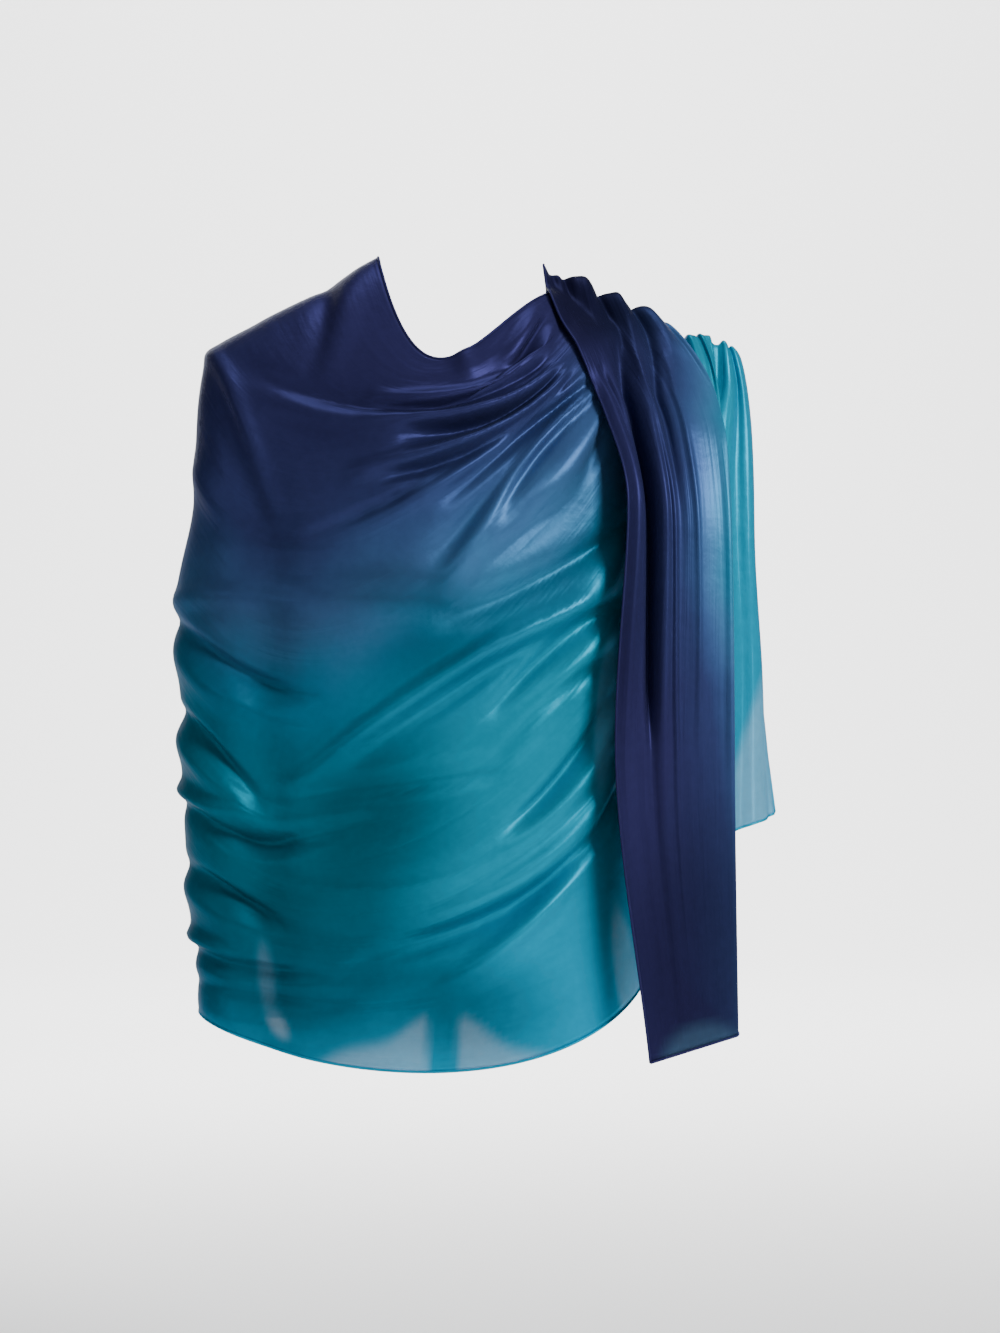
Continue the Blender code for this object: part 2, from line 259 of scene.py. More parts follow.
@dataclass(frozen=True)
class SoftZone:
    """A soft ellipse seen from the front, used both where one bare layer lets light through and for painted
    shade that darkens the cloth.
    """

    x: float
    z: float
    half_width: float
    half_height: float
    turn_degrees: float = 0.0
    strength: float = 1.0
    inner: float = 0.7
    outer: float = 1.25

    def share(self, x: Grid, z: Grid) -> Grid:
        """How much of the zone each point has, from 0 to 1.

        Args:
            x: where the points are, seen from the front.
            z: how high they are.

        Returns:
            The share.
        """
        turn = math.radians(self.turn_degrees)
        over = (x - self.x) * math.cos(turn) + (z - self.z) * math.sin(turn)
        up = (z - self.z) * math.cos(turn) - (x - self.x) * math.sin(turn)
        radius = np.sqrt((over / self.half_width) ** 2 + (up / self.half_height) ** 2)
        return self.strength * (1 - ease(self.inner, self.outer, radius))


@dataclass
class WrapCloth:
    """The stretch across the chest, round the right arm and across the back."""

    front_lines: tuple[DrapeLine, ...] = (
        DrapeLine(0.00, 76, 30, 22, 4, -30, -109, -69, 59, 97, 1.15, 0.75),
        DrapeLine(0.05, 82, 27, 38, -40, -66, -115, -103, 38, 108, 1.15, 0.75),
        DrapeLine(0.13, 95, 20, 42, -95, -120, -112, -168, 5, 116, 1.20, 0.75),
        DrapeLine(0.20, 103, 14, 52, -90, -140, -180, -212, -25, 122, 1.20, 0.72),
        DrapeLine(0.27, 112, 8, 60, -78, -150, -255, -218, -66, 125, 1.20, 0.72),
        DrapeLine(0.38, 128, 2, 64, -125, -135, -325, -221, -140, 128, 1.15, 0.70),
        DrapeLine(0.50, 148, -95, 64, -245, -130, -410, -236, -228, 128, 0.80, 0.70),
        DrapeLine(0.62, 150, -190, 64, -330, -130, -500, -232, -310, 126, 0.75, 0.70),
        DrapeLine(0.75, 150, -290, 70, -420, -125, -560, -230, -388, 122, 0.75, 0.70),
        DrapeLine(0.88, 150, -385, 80, -510, -105, -560, -224, -486, 118, 0.75, 0.70),
        DrapeLine(1.00, 150, -538, 80, -632, -125, -612, -216, -562, 114, 0.75, 0.70),
    )
    back_lines: tuple[DrapeLine, ...] = (
        DrapeLine(0.00, -69, 59, -52, -75, 48, -75, 72, 38, 74, 0.75, 1.10),
        DrapeLine(0.05, -103, 38, -85, -60, 48, -75, 79, 34, 88, 0.75, 1.10),
        DrapeLine(0.13, -168, 5, -120, -80, 50, -90, 92, 30, 100, 0.75, 1.10),
        DrapeLine(0.20, -212, -25, -135, -115, 52, -115, 105, 26, 108, 0.72, 1.10),
        DrapeLine(0.27, -218, -66, -140, -160, 56, -145, 118, 20, 112, 0.72, 1.10),
        DrapeLine(0.38, -221, -140, -135, -255, 66, -215, 137, 11, 115, 0.70, 1.10),
        DrapeLine(0.50, -236, -228, -130, -355, 80, -290, 160, 1, 116, 0.70, 1.05),
        DrapeLine(0.62, -232, -310, -130, -440, 96, -370, 182, -6, 115, 0.70, 1.05),
        DrapeLine(0.75, -230, -388, -125, -520, 118, -450, 203, -9, 114, 0.70, 1.00),
        DrapeLine(0.88, -224, -486, -110, -570, 145, -510, 220, -18, 112, 0.70, 1.00),
        DrapeLine(1.00, -216, -562, -100, -618, 180, -560, 230, -34, 110, 0.70, 1.00),
    )
    # The creases of the front, from the neck down, with x and z as seen from the front
    front_creases: tuple[Crease, ...] = (
        Crease((61, 9), (48, -14), (35, -37), 6, 6.0),
        Crease((70, 6), (57, -18), (42, -41), 4, -5.0),
        Crease((-77, 52), (-93, 11), (-108, -36), 12, 4.0),
        Crease((-112, 34), (-111, 0), (-122, -44), 7, -4.0),
        Crease((2, -24), (5, -36), (10, -50), 7, 3.5),
        Crease((72, -6), (24, -54), (-68, -64), 6, 10.0, 0.3, 0.3),
        Crease((66, -34), (4, -66), (-62, -70), 4, -8.0, 0.0, 0.3),
        Crease((74, -38), (20, -71), (-74, -80), 4.5, 8.0, 0.3, 0.3),
        Crease((76, -46), (22, -82), (-40, -92), 6, -15.0, 0.0, 0.35),
        Crease((82, -44), (18, -92), (-82, -122), 6, 13.0, 0.4, 0.4),
        Crease((72, -62), (0, -110), (-62, -124), 5.5, -13.0, 0.0, 0.3),
        Crease((82, -56), (6, -112), (-58, -136), 4.5, 7.0, 0.0, 0.4),
        Crease((90, -48), (8, -112), (-118, -174), 5, -10.0),
        Crease((94, -46), (20, -108), (-66, -152), 7, 9.0, 0.4, 0.5),
        Crease((106, -50), (58, -86), (-8, -140), 6, -14.0, 0.0, 0.5),
        Crease((110, -54), (48, -120), (-12, -212), 6, 12.0, 0.4, 0.3),
        Crease((84, -82), (28, -142), (-20, -192), 9, -8.0, 0.0, 0.3),
        Crease((116, -56), (70, -100), (32, -156), 4, -10.0),
        Crease((122, -66), (72, -134), (4, -216), 14, 8.0, 0.0, 0.3),
        Crease((120, -72), (112, -96), (100, -122), 4.5, -8.0),
        Crease((78, -148), (54, -168), (16, -202), 10, -8.0),
        Crease((62, -144), (48, -154), (32, -163), 3.5, -4.0),
        Crease((134, -164), (78, -202), (-10, -242), 6.5, -8.0, 0.0, 0.1),
        Crease((128, -186), (86, -236), (20, -266), 15, 9.0, 0.0, 0.2),
        Crease((40, -222), (-50, -226), (-150, -218), 12, -5.0),
        Crease((96, -226), (-20, -288), (-136, -376), 7.5, 10.0, 0.5, 0.2),
        Crease((104, -236), (20, -284), (-80, -352), 8, -8.0, 0.4, 0.3),
        Crease((126, -226), (74, -266), (26, -314), 6.5, -8.5),
        Crease((122, -246), (84, -290), (40, -346), 10, 8.0, 0.0, 0.2),
        Crease((120, -272), (76, -302), (36, -344), 6.5, -7.0),
        Crease((126, -300), (86, -362), (42, -404), 6.5, -10.0, 0.4),
        Crease((126, -318), (92, -378), (40, -424), 9, 6.0),
        Crease((30, -360), (-40, -372), (-166, -388), 9, -7.0),
        Crease((128, -374), (66, -456), (-74, -514), 8, -13.0, 0.4, 0.4),
        Crease((124, -396), (56, -480), (-8, -530), 8, 11.0, 0.5, 0.2),
        Crease((128, -358), (70, -430), (-20, -480), 9, 7.0, 0.3, 0.2),
        Crease((-74, -402), (-148, -420), (-186, -408), 8, -7.0),
        Crease((-236, -240), (-175, -283), (-120, -302), 5, -10.0, 0.4),
        Crease((-238, -258), (-190, -302), (-130, -322), 10, 7.0, 0.4),
        Crease((-234, -312), (-199, -345), (-164, -382), 5, -9.0, 0.4),
        Crease((-236, -330), (-206, -362), (-166, -396), 9, 7.0, 0.4),
        Crease((-232, -386), (-176, -420), (-140, -418), 5.5, -10.0, 0.4),
        Crease((-240, -374), (-212, -388), (-160, -402), 6, 7.0),
        Crease((-226, -440), (-188, -461), (-150, -484), 5.5, -9.0, 0.4),
        Crease((-232, -452), (-196, -478), (-150, -500), 9, 6.0, 0.4),
        Crease((-228, -506), (-180, -522), (-120, -524), 6, -8.0, 0.4),
        Crease((-230, -498), (-214, -502), (-190, -510), 5, 6.0),
        Crease((-218, -536), (-161, -544), (-90, -547), 5, -6.0),
        Crease((-214, -556), (-180, -566), (-120, -572), 8, 4.0),
        Crease((-240, -228), (-200, -222), (-126, -228), 8, 5.0),
        Crease((-216, -111), (-206, -134), (-192, -160), 9, 5.0),
        Crease((-208, -22), (-182, -62), (-148, -160), 6, 6.0),
        Crease((-206, -40), (-190, -84), (-170, -150), 10, -4.0),
        Crease((-172, -38), (-120, -60), (-50, -72), 9, -6.0),
        Crease((-150, -60), (-100, -84), (-40, -86), 14, 4.0),
        Crease((-200, -170), (-140, -186), (-40, -180), 16, -4.0),
        Crease((-150, -440), (-60, -456), (40, -424), 14, 5.0),
        Crease((-160, -476), (-60, -496), (30, -470), 12, -4.0),
    )
    # The creases of the back, also with x and z as seen from the front
    back_creases: tuple[Crease, ...] = (
        Crease((80, 22), (20, -50), (-110, -46), 10, 7.0),
        Crease((88, 18), (24, -66), (-130, -72), 9, -7.0),
        Crease((98, 16), (30, -84), (-150, -106), 11, 8.0, 0.4),
        Crease((108, 12), (34, -104), (-120, -146), 9, -8.0),
        Crease((118, 8), (40, -124), (-170, -190), 12, 8.0, 0.4),
        Crease((128, 4), (46, -150), (-110, -216), 10, -8.0),
        Crease((138, 0), (52, -180), (-180, -270), 13, 9.0, 0.4),
        Crease((148, -6), (60, -214), (-100, -296), 11, -8.0),
        Crease((160, -10), (72, -244), (-170, -360), 14, 8.0, 0.4),
        Crease((170, -14), (84, -284), (-80, -382), 12, -8.0),
        Crease((180, -20), (96, -320), (-160, -440), 14, 8.0, 0.4),
        Crease((192, -24), (114, -350), (-60, -460), 12, -7.0),
        Crease((204, -30), (134, -370), (-130, -510), 13, 7.0, 0.4),
        Crease((214, -40), (160, -360), (0, -520), 10, -6.0),
        Crease((-60, -90), (-130, -120), (-200, -110), 14, 4.0),
        Crease((-208, -22), (-190, -70), (-164, -140), 9, 5.0),
        Crease((-222, -110), (-204, -146), (-172, -196), 11, -5.0),
        Crease((-228, -178), (-196, -204), (-136, -232), 10, 6.0),
        Crease((-238, -236), (-192, -262), (-144, -304), 6, -10.0, 0.4),
        Crease((-240, -254), (-186, -290), (-118, -318), 10, 7.0, 0.4),
        Crease((-236, -314), (-198, -348), (-152, -398), 6, -9.0, 0.4),
        Crease((-236, -334), (-204, -366), (-160, -414), 9, 6.0, 0.4),
        Crease((-238, -386), (-190, -424), (-128, -448), 6, -10.0, 0.4),
        Crease((-240, -372), (-206, -394), (-156, -424), 8, 7.0),
        Crease((-228, -440), (-182, -478), (-132, -522), 6, -9.0, 0.4),
        Crease((-232, -454), (-192, -494), (-142, -532), 9, 6.0, 0.4),
        Crease((-228, -506), (-182, -534), (-118, -552), 7, -7.0, 0.4),
    )
    front_steps: int = 118
    back_steps: int = 88
    across_steps: int = 196
    arm_valley_x: float = -158.0
    arm_valley_width: float = 24.0
    arm_valley_depth: float = 9.0
    arm_valley_top_z: float = -70.0
    arm_valley_fade: float = 90.0
    turn_depth: float = 45.0
    crease_scale: float = 1.15
    crease_limit: float = 20.0
    creases_end: float = 0.80
    power_change: tuple[float, float] = (0.25, 0.75)
    # Where one bare layer shows: the slit above the hem in two parts, and the edge beside the tail, high
    # and low
    thin_zones: tuple[SoftZone, ...] = (
        SoftZone(-157, -532, 9, 36, 6, 0.9, 0.3, 1.3),
        SoftZone(-148, -566, 9, 18, 30, 0.9, 0.3, 1.3),
        SoftZone(117, -317, 9, 66, -4, 0.6),
        SoftZone(133, -525, 10, 56, 8, 0.5),
    )
    # Painted shade: zones where the colour is darkened to stand in for shade on the cloth: the arm's side,
    # the middle, the hem in two parts, above the middle, the edge beside the tail (the tail's painted
    # shadow), the upper arm's side, then the transition, the right, the teal band and the chest
    painted_shade_zones: tuple[SoftZone, ...] = (
        SoftZone(-200, -450, 130, 250, 0, 0.75, 0.1, 1.4),
        SoftZone(-60, -396, 66, 76, 0, 0.95, 0.1, 1.5),
        SoftZone(-90, -520, 110, 70, -8, 0.85, 0.2, 1.5),
        SoftZone(20, -560, 60, 44, 0, 0.65, 0.2, 1.5),
        SoftZone(-20, -262, 60, 34, 30, 0.6, 0.1, 1.5),
        SoftZone(112, -440, 16, 120, 0, 0.5, 0.2, 1.5),
        SoftZone(-150, -230, 130, 90, 0, 0.30, 0.1, 1.5),
        SoftZone(-52, -216, 58, 26, 0, 0.60, 0.1, 1.5),
        SoftZone(108, -145, 34, 48, -20, 0.45, 0.2, 1.5),
        SoftZone(81, -199, 44, 28, 25, 0.30, 0.2, 1.5),
        SoftZone(-95, -75, 70, 75, 0, 0.35, 0.1, 1.4),
    )
    # The painted shade fades out towards the back, over this many millimetres in y
    painted_shade_ends_y: float = 60.0
    # How much deeper in the bath the navy reaches at places in x, and where across that ends
    navy_stops: tuple[float, ...] = (-240, -120, -40, 0, 60, 140)
    navy_reach: tuple[float, ...] = (0.06, 0.03, 0.003, 0.01, 0.04, 0.08)
    navy_fade: tuple[float, float] = (0.55, 0.70)
    # The band of one layer above the hem: its top edge, its two ends, and the dark strip that parts it
    band_stops: tuple[float, ...] = (-125, -95, -60, -24, 0, 40, 75)
    band_tops: tuple[float, ...] = (-604, -586, -578, -556, -557, -583, -592)
    band_edge: tuple[float, float] = (-10, 7)
    band_ends: tuple[tuple[float, float], tuple[float, float]] = ((-130, -116), (70, 86))
    strip_ends: tuple[tuple[float, float], tuple[float, float]] = ((-30, -22), (-6, 2))
    band_strength: float = 0.75

    def drape(self, lines: tuple[DrapeLine, ...], across: Grid, along: Grid, side: Side) -> Grid:
        """Points of the cloth before its creases.

        Args:
            lines: the drape lines of the stretch.
            across: places across the cloth, 0 at the navy edge.
            along: places along the stretch.
            side: the side of the wearer.

        Returns:
            Points in millimetres.
        """
        stops = [line.across for line in lines]

        def read(name: str) -> Grid:
            """One value of the drape lines at each place across."""
            return smooth_read(stops, [getattr(line, name) for line in lines], across)

        t = (1 - np.cos(math.pi * along)) / 2
        weights = ((1 - t) ** 3, 3 * t * (1 - t) ** 2, 3 * t * t * (1 - t), t**3)
        places = ("start", "near", "far", "end")
        x = sum(w * read(f"{place}_x") for w, place in zip(weights, places))
        z = sum(w * read(f"{place}_z") for w, place in zip(weights, places))
        blend = ease(*self.power_change, along)
        power = read("start_power") * (1 - blend) + read("end_power") * blend
        y = side.value * read("depth") * np.sin(math.pi * np.clip(along, 0, 1)) ** power
        return np.stack([x, y, z], axis=-1)

    def points(self, tail: "TailCloth") -> tuple[Grid, Grid]:
        """Points of the whole stretch and their place across the cloth.

        Args:
            tail: the tail, whose first section the back leads into.

        Returns:
            Points in millimetres, and places across.
        """
        rows = np.linspace(0, 1, self.across_steps)
        across, along = np.meshgrid(rows, np.linspace(0, 1, self.front_steps), indexing="ij")
        front = self.drape(self.front_lines, across, along, Side.FRONT)
        reach = np.exp(-(((front[..., 0] - self.arm_valley_x) / self.arm_valley_width) ** 2))
        below = ease(0, self.arm_valley_fade, self.arm_valley_top_z - front[..., 2])
        front[..., 1] += self.arm_valley_depth * reach * below
        across_back, along_back = np.meshgrid(
            rows, np.linspace(0, 1, self.back_steps), indexing="ij"
        )
        back = self.drape(self.back_lines, across_back, along_back, Side.BACK)
        back = tail.led_into(back, across_back, along_back)
        points = np.concatenate([front, back[:, 1:]], axis=1)
        normals = grid_normals(front, (0, -1, 0))
        normals = np.concatenate([normals, grid_normals(back, (0, 1, 0))[:, 1:]], axis=1)
        turn = self.front_steps - 1
        normals[:, turn] = unit(normals[:, turn - 1] + normals[:, turn + 1])
        x, y, z = points[..., 0], points[..., 1], points[..., 2]
        back_share = ease(0, self.turn_depth, y)
        height = sum(crease.heights(x, z) for crease in self.front_creases) * (1 - back_share)
        height = height + sum(crease.heights(x, z) for crease in self.back_creases) * back_share
        fixed = np.ones_like(y)
        fixed[:, turn:] = 1 - ease(self.creases_end, 1.0, along_back)
        height = np.clip(height * self.crease_scale, -self.crease_limit, self.crease_limit)
        height = blurred(height) * fixed
        across_all = np.repeat(rows[:, None], points.shape[1], axis=1)
        return points + normals * height[..., None], across_all

    def dye(self, across: Grid, x: Grid) -> Grid:
        """The dye, whose navy reaches further down over the arm.

        Args:
            across: places across the cloth.
            x: where the points are, seen from the front.

        Returns:
            The depth in the dye bath.
        """
        shift = smooth_read(self.navy_stops, self.navy_reach, x)
        return across - shift * (1 - ease(*self.navy_fade, across))

    def hem_band(self, x: Grid, z: Grid) -> Grid:
        """The band above the front hem where one layer shows, whose top edge has two arcs.

        Args:
            x: where the points are, seen from the front.
            z: how high they are.

        Returns:
            The share of the band at each point.
        """
        top = smooth_read(self.band_stops, self.band_tops, x)
        inside = between(*self.band_ends, x)
        strip = between(*self.strip_ends, x)
        return self.band_strength * inside * (1 - ease(*self.band_edge, z - top)) * (1 - strip)

    def looks(self, points: Grid, across: Grid) -> dict[str, Grid]:
        """The finish's attributes.

        Args:
            points: points of the stretch in millimetres.
            across: their places across the cloth.

        Returns:
            The dye, thin and painted shade of each point.
        """
        x, y, z = points[..., 0], points[..., 1], points[..., 2]
        thin = np.maximum.reduce([zone.share(x, z) for zone in self.thin_zones] + [self.hem_band(x, z)])
        # Painted shade: darker where shade falls on the front, faded out on the back
        painted_shade = np.clip(sum(zone.share(x, z) for zone in self.painted_shade_zones), 0, 1)
        painted_shade = painted_shade * (1 - ease(0, self.painted_shade_ends_y, y))
        return {"dye": self.dye(across, x), "thin": thin * (y < 0), "painted_shade": painted_shade}


@dataclass(frozen=True)
class FoldLine:
    """A line along the tail at one place across the cloth, with x, y and z at each stop."""

    across: float
    places: tuple[tuple[float, float, float], ...]


@dataclass(frozen=True)
class Pleat:
    """A pleat along the tail, with its place across and its height at each of the tail's pleat stops."""

    places: tuple[float, ...]
    width: float
    heights: tuple[float, ...]


def straight(across: float, stops: int = 7) -> tuple[float, ...]:
    """The places of a pleat that keeps to one place across."""
    return (across,) * stops


@dataclass
class TailCloth:
    """The end of the cloth, pleated over the left shoulder and hanging in front in an S fold."""

    stops: tuple[float, ...] = (0.0, 0.06, 0.12, 0.20, 0.30, 0.45, 0.70, 1.0)
    fold_lines: tuple[FoldLine, ...] = (
        FoldLine(0.00, ((71, 30, 36), (68, 0, 55), (73, -25, 16), (95, -60, -30),
                        (116, -88, -74), (134, -114, -150), (124, -120, -340), (152, -112, -597))),
        FoldLine(0.40, ((164, 32, -6), (170, 0, 6), (190, -28, -16), (210, -58, -58),
                        (218, -80, -102), (221, -94, -190), (223, -98, -380), (226, -92, -576))),
        FoldLine(0.53, ((178, 33, -16), (182, 2, -10), (186, -14, -38), (176, -46, -72),
                        (164, -66, -108), (158, -78, -170), (160, -82, -330), (156, -74, -490))),
        FoldLine(0.66, ((192, 34, -12), (197, 4, -2), (207, -14, -24), (214, -38, -62),
                        (216, -54, -104), (216, -64, -165), (214, -66, -300), (214, -62, -455))),
        FoldLine(0.77, ((205, 34, -20), (210, 6, -12), (208, 0, -44), (192, -22, -76),
                        (176, -38, -112), (170, -46, -160), (172, -48, -285), (172, -46, -432))),
        FoldLine(0.90, ((220, 33, -24), (225, 10, -12), (233, 2, -38), (238, -10, -80),
                        (240, -18, -120), (242, -22, -180), (246, -20, -290), (244, -16, -408))),
        FoldLine(1.00, ((230, 31, -44), (235, 28, -42), (237, 32, -66), (237, 34, -98),
                        (236, 34, -135), (232, 30, -190), (246, 22, -290), (260, 8, -400))),
    )
    pleat_stops: tuple[float, ...] = (0.0, 0.09, 0.24, 0.42, 0.62, 0.70, 1.0)
    pleats: tuple[Pleat, ...] = (
        Pleat(straight(0.031), 0.021, (-3, -7, 0, 0, 0, 0, 0)),
        Pleat(straight(0.032), 0.025, (0, 0, 6, 6, 4, 2, 0)),
        Pleat((0.069, 0.069, 0.050, 0.05, 0.05, 0.05, 0.05), 0.015, (-5, -5, -4, 0, 0, 0, 0)),
        Pleat((0.126, 0.126, 0.072, 0.06, 0.06, 0.06, 0.06), 0.028, (5, 5, 4, 0, 0, 0, 0)),
        Pleat((0.178, 0.178, 0.108, 0.09, 0.11, 0.12, 0.13), 0.017, (-6, -6, -12, -18, -14, -3, 0)),
        Pleat((0.232, 0.232, 0.158, 0.135, 0.15, 0.155, 0.16), 0.021, (5, 5, 7, 8, 5, 2, 0)),
        Pleat((0.200, 0.200, 0.172, 0.172, 0.19, 0.20, 0.20), 0.009, (0, 0, 3, 4, 4, 2, 0)),
        Pleat((0.283, 0.283, 0.205, 0.20, 0.20, 0.20, 0.20), 0.014, (-5, -5, -6, -2, 0, 0, 0)),
        Pleat((0.330, 0.330, 0.270, 0.26, 0.27, 0.28, 0.30), 0.030, (5, 5, 3, 2, 1, 0, 0)),
        Pleat((0.300, 0.300, 0.258, 0.258, 0.27, 0.27, 0.27), 0.009, (0, 0, 2, 3, 1, 0, 0)),
        Pleat(straight(0.378), 0.012, (-3, -3, 0, 2, 3, 1, 0)),
        Pleat(straight(0.590), 0.022, (3, 3, 1, 2, 3, 3, 4)),
        Pleat(straight(0.640), 0.012, (-3, -3, 0, 0, 0, 0, 0)),
        Pleat(straight(0.715), 0.022, (4, 3, 0, -2, -3, -3, -4)),
        Pleat(straight(0.835), 0.024, (4, 4, 4, 3, 3, 3, 4)),
        Pleat(straight(0.874), 0.012, (-3, -3, -4, -3, -2, -2, -2)),
        Pleat(straight(0.930), 0.022, (3, 3, 3, 3, 3, 3, 3)),
        Pleat(straight(0.975), 0.012, (-2, -2, -2, -1, 1, 2, 3)),
    )
    rounding: float = 0.020
    rounding_steps: int = 9
    rounding_middle: float = 1.2
    across_steps: int = 300
    along_steps: int = 156
    top_crowding: float = 1.25
    clearance: float = 6.0
    lift_start: float = 0.07
    lift_passes: int = 6
    lead_start: float = 0.70
    lead_place: float = 0.01
    rise_start: float = 0.84
    rise_sag: float = 4.5
    rise_fade: tuple[float, float] = (0.5, 0.8)
    shoulder_out: tuple[float, float, float] = (0.0, -0.8, 0.6)
    ray_reach: float = 250.0
    deepest_lift: float = 60.0
    # The bare end
    thin_zones: tuple[SoftZone, ...] = (
        SoftZone(196, -592, 34, 26, 12, 0.16),
    )
    # Painted shade, darkening the colour where shade falls: over the shoulder, on the lower half, and beside
    # the long valley
    painted_shade_zones: tuple[SoftZone, ...] = (
        SoftZone(108, 22, 62, 62, 0, 1.0, 0.3, 1.4),
        SoftZone(190, -520, 70, 140, 0, 0.70, 0.3, 1.3),
        SoftZone(132, -230, 22, 110, 0, 0.35, 0.3, 1.4),
    )
    # How much deeper in the bath the navy reaches at heights in z, and where across the top layer ends
    navy_stops: tuple[float, ...] = (-600, -420, -335, -270, -200, -90, 0, 60)
    navy_reach: tuple[float, ...] = (0.17, 0.15, 0.11, -0.03, -0.09, -0.07, 0.03, 0.08)
    top_layer_end: tuple[float, float] = (0.40, 0.50)
    # The second layer's edge that shows through: its x at heights in z, how soft it is, where it ends
    # upwards, and the change of dye behind it
    layer_stops: tuple[float, ...] = (-575, -545, -515, -485, -450, -340, -190)
    layer_edge: tuple[float, ...] = (225, 192, 165, 155, 155, 170, 172)
    layer_softness: tuple[float, float] = (-3, 4)
    layer_top: tuple[float, float] = (-330, -290)
    layer_dye: float = 0.07
    # The sheer corner below a slanting fold: two points of the fold in x and z, how soft its edge is,
    # where across it starts, and how sheer it is
    corner_high: tuple[float, float] = (249.0, -286.0)
    corner_low: tuple[float, float] = (219.0, -378.0)
    corner_softness: tuple[float, float] = (-5, 5)
    corner_start: tuple[float, float] = (0.72, 0.90)
    corner_strength: float = 0.6

    def section(self, knots: Grid, across: Grid) -> Grid:
        """One coordinate of a folded section with its corners rounded.

        Args:
            knots: the coordinate on each fold line.
            across: where to read it.

        Returns:
            The coordinate at each place.
        """
        places = [line.across for line in self.fold_lines]
        offsets = np.linspace(-1, 1, self.rounding_steps)
        weights = self.rounding_middle - np.abs(offsets)
        room = np.minimum(1, np.minimum(across, 1 - across) / self.rounding)
        total = np.zeros_like(across)
        for offset, weight in zip(offsets, weights / weights.sum()):
            total += weight * np.interp(across + offset * self.rounding * room, places, knots)
        return total

    def base(self, across: Grid, along: Grid) -> Grid:
        """Points of the tail before its pleats.

        Args:
            across: places across the cloth.
            along: places along the tail.

        Returns:
            Points in millimetres.
        """
        points = np.zeros(across.shape + (3,))
        for axis in range(3):
            knots = np.array([
                smooth_read(self.stops, [place[axis] for place in line.places], along[0])
                for line in self.fold_lines
            ])
            for column in range(across.shape[1]):
                points[:, column, axis] = self.section(knots[:, column], across[:, column])
        return points

    def pleat_heights(self, across: Grid, along: Grid) -> Grid:
        """How far the pleats move each point.

        Args:
            across: places across the cloth.
            along: places along the tail.

        Returns:
            Heights in millimetres.
        """
        height = np.zeros_like(across)
        for pleat in self.pleats:
            strength = smooth_read(self.pleat_stops, pleat.heights, along)
            middle = smooth_read(self.pleat_stops, pleat.places, along)
            height += strength * np.exp(-(((across - middle) / pleat.width) ** 2))
        return height

    def pleated(self, across: Grid, along: Grid) -> Grid:
        """Points of the tail with its pleats.

        Args:
            across: places across the cloth.
            along: places along the tail.

        Returns:
            Points in millimetres.
        """
        base = self.base(across, along)
        normals = unit(np.cross(np.gradient(base, axis=1), np.gradient(base, axis=0)))
        return base + normals * self.pleat_heights(across, along)[..., None]

    def led_into(self, back: Grid, across: Grid, along: Grid) -> Grid:
        """The last of the back moved onto the first section of the tail.

        Args:
            back: points of the back.
            across: their places across.
            along: their places along the back.

        Returns:
            The moved points.
        """
        start = np.zeros((across.shape[0], 2))
        start[:, 1] = self.lead_place
        edge = self.pleated(np.repeat(across[:, :1], 2, axis=1), start)[:, 0]
        shift = edge - back[:, -1]
        led = back + shift[:, None, :] * ease(self.lead_start, 1.0, along)[..., None]
        rise = np.clip((along - self.rise_start) / (1 - self.rise_start), 0, 1)
        led[..., 2] -= self.rise_sag * np.sin(math.pi * rise) * (1 - ease(*self.rise_fade, across))
        return led

    def points(self, under: Grid) -> tuple[Grid, Grid]:
        """Points of the tail, laid clear of the front, and their place across the cloth.

        Args:
            under: points of the stretch across the chest.

        Returns:
            Points in millimetres, and places across.
        """
        rows = np.linspace(0, 1, self.across_steps)
        columns = np.linspace(0, 1, self.along_steps) ** self.top_crowding
        across, along = np.meshgrid(rows, columns, indexing="ij")
        points = self.pleated(across, along)
        tree = surface_tree(under)
        out = Vector(self.shoulder_out)
        lifts = np.zeros(across.shape)
        for i, j in np.ndindex(lifts.shape):
            place = Vector(points[i, j])
            hit = tree.ray_cast(place + out * self.ray_reach, -out, 2 * self.ray_reach)[0]
            if hit is not None:
                clear = (place - hit).dot(out)
                if clear > -self.deepest_lift:
                    lifts[i, j] = max(0.0, self.clearance - clear)
        for _ in range(self.lift_passes):
            padded = np.pad(lifts, 1, mode="edge")
            mean = (padded[:-2, 1:-1] + padded[2:, 1:-1] + padded[1:-1, :-2] + padded[1:-1, 2:]) / 4
            lifts = np.maximum(lifts, mean)
        lifts = lifts * ease(0.0, self.lift_start, along)
        return points + lifts[..., None] * np.array(self.shoulder_out), across

    def dye(self, across: Grid, x: Grid, z: Grid) -> Grid:
        """The dye, navy over the lower half, where a second layer's edge shows through.

        Args:
            across: places across the cloth.
            x: where the points are, seen from the front.
            z: how high they are.

        Returns:
            The depth in the dye bath.
        """
        shift = smooth_read(self.navy_stops, self.navy_reach, z)
        edge = smooth_read(self.layer_stops, self.layer_edge, z)
        behind = ease(*self.layer_softness, x - edge) * (1 - ease(*self.layer_top, z))
        return across - (shift - self.layer_dye * behind) * (1 - ease(*self.top_layer_end, across))

    def sheer_corner(self, x: Grid, z: Grid) -> Grid:
        """The lower corner, one layer thick below a slanting fold.

        Args:
            x: where the points are, seen from the front.
            z: how high they are.

        Returns:
            The share of the corner at each point.
        """
        top_x, top_z = self.corner_high
        fold_x, fold_z = self.corner_low
        length = math.hypot(top_x - fold_x, top_z - fold_z)
        past = ((x - top_x) * (top_z - fold_z) - (z - top_z) * (top_x - fold_x)) / length
        return self.corner_strength * ease(*self.corner_softness, past)

